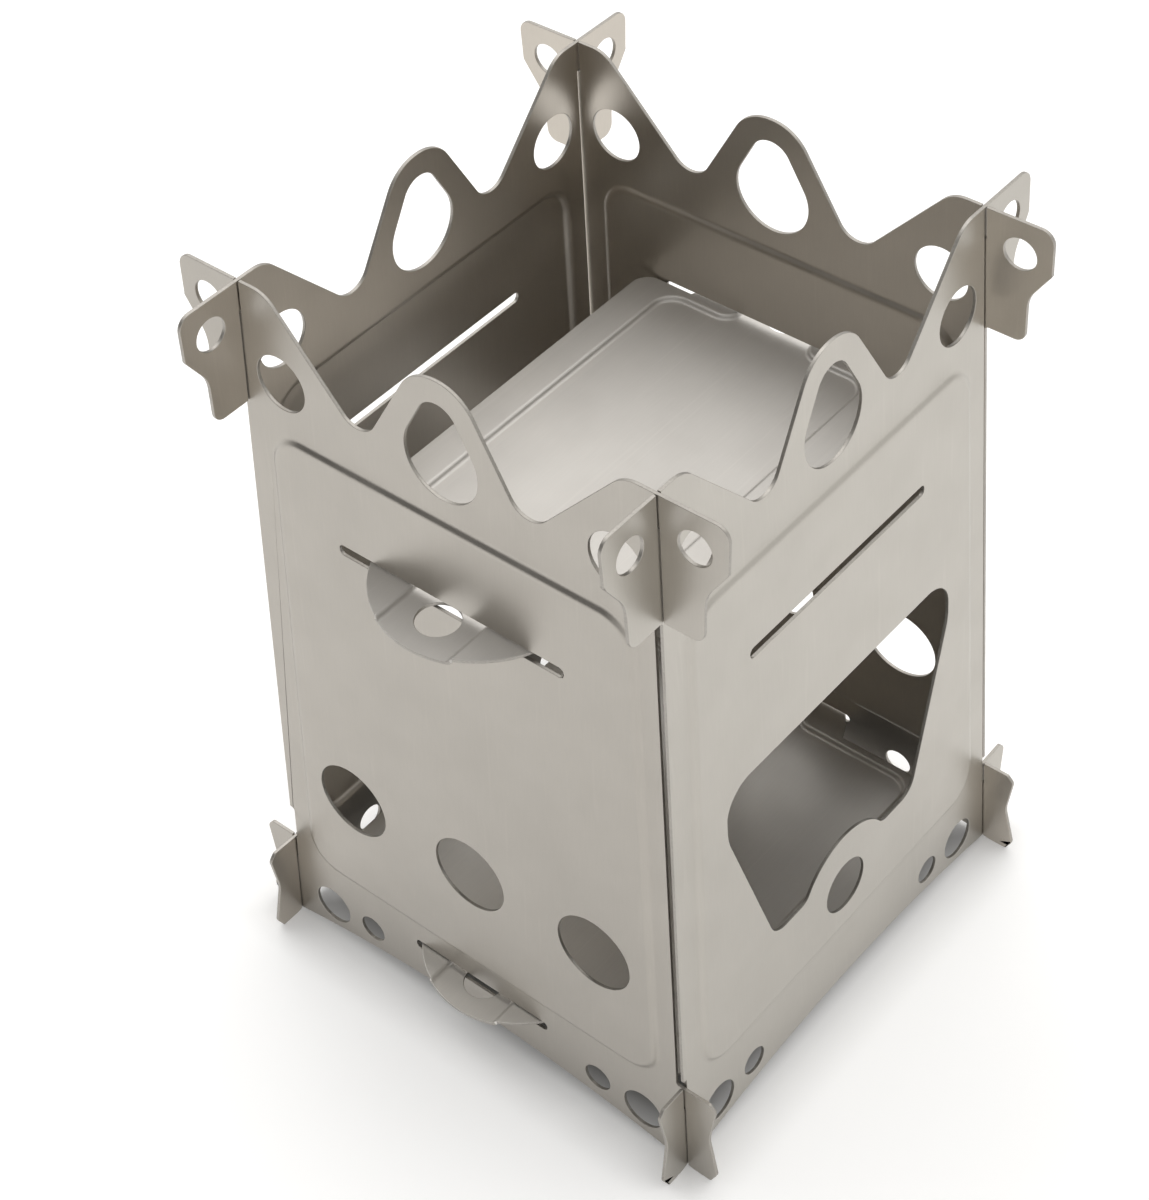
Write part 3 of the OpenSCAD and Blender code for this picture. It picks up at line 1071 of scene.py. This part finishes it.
@dataclass(frozen=True)
class Plate:
    """A dished plate with two tabs. Sizes are in millimetres."""

    name: str
    node: str
    body: str
    half: float
    rim: float
    slot_v: float
    end: float
    lit_tone: PaintedLightTone
    sizes: StoveSizes = StoveSizes()

    tab_hole_r: float = 4.7
    tab_hole_in: float = 9.3
    channel_half: float = 9.3
    channel_r: float = 4.0
    plate_r: float = 4.0
    dish_r: float = 5.0
    dish_end: float = 2.4
    bend: Bend = Bend(depth=1.0, radius=0.85, land=0.15)
    edge: float = 0.13

    def _tip(self, x: float) -> float:
        """Angle on a tab's end at a distance from its middle."""
        return math.acos(x / self.sizes.tab_r)

    def _tab(self, way: int, start: float, end: float, steps: int) -> Arc:
        """A stretch of the rounded end of the tab that points that way."""
        return Arc(0, way * self.sizes.tab_c, self.sizes.tab_r, start, end, steps)

    def dish_side(self, grow: float) -> list[Station]:
        """Outlines the right side of the dish, from the front tab's end to the back tab's.

        Args:
            grow: A margin round the dish.

        Returns:
            Its corners.
        """
        s = self.sizes
        c = self.channel_half + grow
        tip = s.tab_c + math.sqrt(s.tab_r ** 2 - c * c)
        x, y = self.half - self.rim + grow, self.end - self.dish_end + grow
        back: list[Station] = [
            Corner(x, y, self.dish_r + grow, steps=12),
            Corner(c, y, self.channel_r - grow, steps=12),
            Corner(c, tip),
        ]
        front = [replace(p, v=-p.v) for p in reversed(back)]
        return front + back

    def rim_side(self) -> list[Station]:
        """Outlines the right half of the rim, round the dish.

        Returns:
            Its stations.
        """
        s = self.sizes
        reach = self.bend.reach
        join = math.asin((self.end - s.tab_c) / s.tab_r)
        tip = self._tip(self.channel_half + reach)
        wing: list[Station] = [
            self._tab(-1, -tip, -join, 18),
            Corner(self.half, -self.end, self.plate_r, steps=10),
            Corner(self.half, self.end, self.plate_r, steps=10),
            self._tab(1, join, tip, 18),
        ]
        return wing + [*reversed(self.dish_side(reach))][1:-1]

    def dish(self) -> list[Station]:
        """Outlines the flat floor of the dish, with the channels over the tabs.

        Returns:
            Its stations.
        """
        reach = self.bend.reach
        inner, tip = self.dish_side(-reach), self._tip(self.channel_half - reach)
        return (
            inner[1:-1] + [self._tab(1, tip, math.pi - tip, 24)]
            + flipped(inner)[1:-1] + [self._tab(-1, tip - math.pi, -tip, 24)]
        )

    def build(self, finishes: Finishes) -> bpy.types.Object:
        """Makes the plate and lays it in its place.

        Args:
            finishes: The materials.

        Returns:
            The plate.
        """
        s = self.sizes
        rim = self.rim_side()
        holes = [circle(0, y * (s.tab_reach - self.tab_hole_in), self.tab_hole_r)
                 for y in (-1, 1)]
        sheet = Sheet()
        sheet.fill([rim])
        sheet.fill([flipped(rim)])
        sheet.bend(self.dish_side, self.bend, closed=False)
        sheet.bend(lambda grow: flipped(self.dish_side(grow)), self.bend, closed=False)
        sheet.fill([self.dish(), *holes], self.bend.depth)
        sheet.weld()
        sheet.thicken(s.sheet_t)
        level = s.rise(self.slot_v) + s.plate_h / 2
        sheet.place(Matrix.Scale(MM, 4) @ Matrix.Translation((0, 0, level)))
        piece = sheet.finish(self.name, (finishes.sheets[self.lit_tone], finishes.cut),
                             self.edge * MM)
        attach(piece, self.body)
        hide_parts(self.node)
        return piece


# --------------------------------------------------------------------------
# The stove
# --------------------------------------------------------------------------


@dataclass(frozen=True)
class Stove:
    """The six pieces of the stove."""

    sizes: StoveSizes = StoveSizes()
    upper_half: float = 35.2
    lower_half: float = 52.0
    rim: float = 8.5

    def walls(self) -> list[Wall]:
        """Lists the four walls, each with its laps and openings.

        Returns:
            The walls.
        """
        return [
            # Each wall's tone is a painted light tint: darker in front, lighter on the walls seen
            # from inside
            Wall("pressed_front_wall", "front_wall", "stove", 0.0,
                 right_lap=Lap.OVER_APART, left_lap=Lap.UNDER_LOOSE, lit_tone=PaintedLightTone.FRONT),
            Wall("pressed_right_wall", "right_wall", "stove", math.pi / 2,
                 right_lap=Lap.OVER, left_lap=Lap.UNDER, mouth=Mouth.FUEL, low_slot=False,
                 lit_tone=PaintedLightTone.SIDE),
            Wall("pressed_back_wall", "back_wall", "stove", math.pi,
                 right_lap=Lap.UNDER_LOOSE, left_lap=Lap.UNDER, press=Press.IN),
            Wall("pressed_left_wall", "left_wall", "lift_out_wall", -math.pi / 2,
                 right_lap=Lap.LOOSE, left_lap=Lap.LOOSE, low_slot=False),
        ]

    def plates(self) -> list[Plate]:
        """Lists the upper and the lower plate.

        Returns:
            The plates.
        """
        s = self.sizes
        end = s.face_at(s.rise(s.high_slot_v)) - s.sheet_t - s.press_d - s.plate_play
        return [
            Plate("dished_upper_plate", "upper_plate", "stove", self.upper_half, self.rim,
                  s.high_slot_v, end, PaintedLightTone.UPPER_PLATE),
            Plate("dished_lower_plate", "lower_plate", "stove", self.lower_half, self.rim,
                  s.low_slot_v, end, PaintedLightTone.LOWER_PLATE),
        ]

    def build(self, finishes: Finishes) -> None:
        """Makes every piece.

        Args:
            finishes: The materials.
        """
        for part in [*self.walls(), *self.plates()]:
            piece = part.build(finishes)
            log.info("%s: %d faces, rides on %s", piece.name, len(piece.data.polygons), part.body)


# --------------------------------------------------------------------------
# Studio
# --------------------------------------------------------------------------


@dataclass(frozen=True)
class Lamp:
    """A soft box. Sizes are in metres."""

    name: str
    place: RGB
    aim: RGB
    size: tuple[float, float]
    power: float

    def make(self) -> None:
        """Hangs the lamp."""
        data = bpy.data.lights.new(self.name, "AREA")
        data.shape = "RECTANGLE"
        data.size, data.size_y = self.size
        data.energy = self.power
        lamp = bpy.data.objects.new(self.name, data)
        lamp.location = self.place
        way = Vector(self.aim) - Vector(self.place)
        lamp.rotation_euler = way.to_track_quat("-Z", "Y").to_euler()
        bpy.context.scene.collection.objects.link(lamp)


@dataclass(frozen=True)
class Patch:
    """A soft patch of light or dark in the room: full inside one angle, gone outside another."""

    name: str
    towards: RGB
    outer: float
    inner: float
    light: float

    def over(self, g: Graph, room: bpy.types.NodeSocket) -> bpy.types.NodeSocket:
        """Lays the patch over the room.

        Args:
            g: The world's nodes.
            room: The light of the room so far.

        Returns:
            The light with the patch in it.
        """
        way = g.add("ShaderNodeTexCoord").outputs["Generated"]
        near = g.add("ShaderNodeVectorMath", operation="DOT_PRODUCT", _0=way,
                     _1=Vector(self.towards).normalized()).outputs["Value"]
        there = g.add("ShaderNodeMapRange", interpolation_type="SMOOTHSTEP", Value=near,
                      From_Min=math.cos(math.radians(self.outer)),
                      From_Max=math.cos(math.radians(self.inner))).outputs[0]
        return g.add("ShaderNodeMix", label=self.name, _0=there, _2=room,
                     _3=self.light).outputs[0]


@dataclass(frozen=True)
class Ground:
    """The pale ground, with shadow painted on it under the stove. Sizes are in metres."""

    size: float = 6.0
    glow: float = 0.33
    glow_from: float = 0.05
    glow_full: float = 0.072
    painted_shadow_under: float = 0.3
    open_ground_grey: float = 0.8
    painted_shadow_from: float = 0.045
    painted_shadow_end: float = 0.06

    def _material(self) -> bpy.types.Material:
        """Paints it: it looks white to the camera and in the metal, keeps shadows, and has
        painted shadow under the stove, where its colour is darker and its glow is cut.

        Returns:
            The material.
        """
        material = bpy.data.materials.new("pale ground")
        g = Graph(material)
        path = g.add("ShaderNodeLightPath")
        seen = g.math("MAXIMUM", path.outputs["Is Camera Ray"],
                      g.math("MAXIMUM", path.outputs["Is Glossy Ray"],
                             path.outputs["Is Transmission Ray"]))
        where = g.add("ShaderNodeSeparateXYZ", Vector=g.place()).outputs
        away = g.math("MAXIMUM", g.math("ABSOLUTE", where["X"]), g.math("ABSOLUTE", where["Y"]))
        # Painted shadow: the glow fades out inside the stove's footprint, so the ground under it
        # looks dark
        clear = g.span(away, self.glow_from, self.glow_full, 0.0, self.glow)
        # Painted shadow: the ground's colour is darker under the stove
        shade = g.span(away, self.painted_shadow_from, self.painted_shadow_end, self.painted_shadow_under, self.open_ground_grey)
        glow = g.add("ShaderNodeEmission", Color=(1, 1, 1, 1),
                     Strength=g.math("MULTIPLY", seen, clear))
        lit = g.add("ShaderNodeBsdfDiffuse", Color=g.grey(shade))
        both = g.add("ShaderNodeAddShader", _0=lit.outputs[0], _1=glow.outputs[0])
        g.add("ShaderNodeOutputMaterial", Surface=both.outputs[0])
        return material

    def lay(self) -> None:
        """Lays it at height zero."""
        bm = bmesh.new()
        bmesh.ops.create_grid(bm, x_segments=1, y_segments=1, size=self.size / 2)
        mesh = bpy.data.meshes.new("ground")
        bm.to_mesh(mesh)
        bm.free()
        mesh.materials.append(self._material())
        ground = bpy.data.objects.new("ground", mesh)
        bpy.context.scene.collection.objects.link(ground)


@dataclass(frozen=True)
class View:
    """The camera where the photograph was taken from, in metres and radians."""

    azimuth: float = 0.742538
    elevation: float = 0.777942
    roll: float = -0.0724513
    place: RGB = (0.248809, -0.288959, 0.468539)
    lens: float = 77.793
    sensor: float = 36.0
    near: float = 0.01
    far: float = 20.0

    def _axes(self) -> tuple[Vector, Vector, Vector]:
        """Works out the camera's axes.

        Returns:
            The ways to its right, up and back.
        """
        back = Vector((math.sin(self.azimuth) * math.cos(self.elevation),
                       -math.cos(self.azimuth) * math.cos(self.elevation),
                       math.sin(self.elevation)))
        right = Vector((0, 0, 1)).cross(back).normalized()
        up = back.cross(right)
        c, s = math.cos(self.roll), math.sin(self.roll)
        return c * right + s * up, c * up - s * right, back

    def set_up(self) -> None:
        """Makes the camera and sets it as the scene's."""
        data = bpy.data.cameras.new("camera")
        data.sensor_fit = "HORIZONTAL"
        data.sensor_width = self.sensor
        data.lens = self.lens
        data.clip_start, data.clip_end = self.near, self.far
        camera = bpy.data.objects.new("camera", data)
        turn = Matrix(self._axes()).transposed().to_4x4()
        camera.matrix_world = Matrix.Translation(self.place) @ turn
        bpy.context.scene.collection.objects.link(camera)
        bpy.context.scene.camera = camera


@dataclass(frozen=True)
class Studio:
    """Camera, ground, lamp and a pale room with soft patches that the metal mirrors."""

    view: View = View()
    ground: Ground = Ground()
    room: float = 0.6
    air: RGB = (1.0, 0.99, 0.97)
    patches: tuple[Patch, ...] = (
        Patch("bright upper left", (-0.75, 0.15, 0.63), 60.0, 10.0, 1.2),
        Patch("pale right and back", (0.7, 0.6, 0.35), 50.0, 25.0, 0.85),
        Patch("bright overhead", (0.1, 0.45, 0.88), 44.0, 16.0, 1.75),
        Patch("dark front left", (-0.48, -0.78, 0.4), 34.0, 14.0, 0.12),
    )
    lamp: Lamp = Lamp("high soft box", (-0.9, 0.3, 1.5), (0, 0, 0.1), (1.2, 1.2), 4.0)

    def _light_room(self) -> None:
        """Lights the room."""
        world = bpy.data.worlds.new("room")
        bpy.context.scene.world = world
        g = Graph(world)
        light = g.add("ShaderNodeValue")
        light.outputs[0].default_value = self.room
        room = light.outputs[0]
        for patch in self.patches:
            room = patch.over(g, room)
        air = g.add("ShaderNodeBackground", Color=(*self.air, 1.0), Strength=room)
        g.add("ShaderNodeOutputWorld", Surface=air.outputs[0])

    def build(self) -> None:
        """Sets up all of it."""
        bpy.context.scene.view_settings.view_transform = "Standard"
        self.view.set_up()
        self.ground.lay()
        self._light_room()
        self.lamp.make()


def main() -> None:
    """Builds the stove and the studio."""
    logging.basicConfig(level=logging.INFO, format="%(name)s: %(message)s")
    Stove().build(Finishes.make())
    Studio().build()


if __name__ == "__main__":
    main()
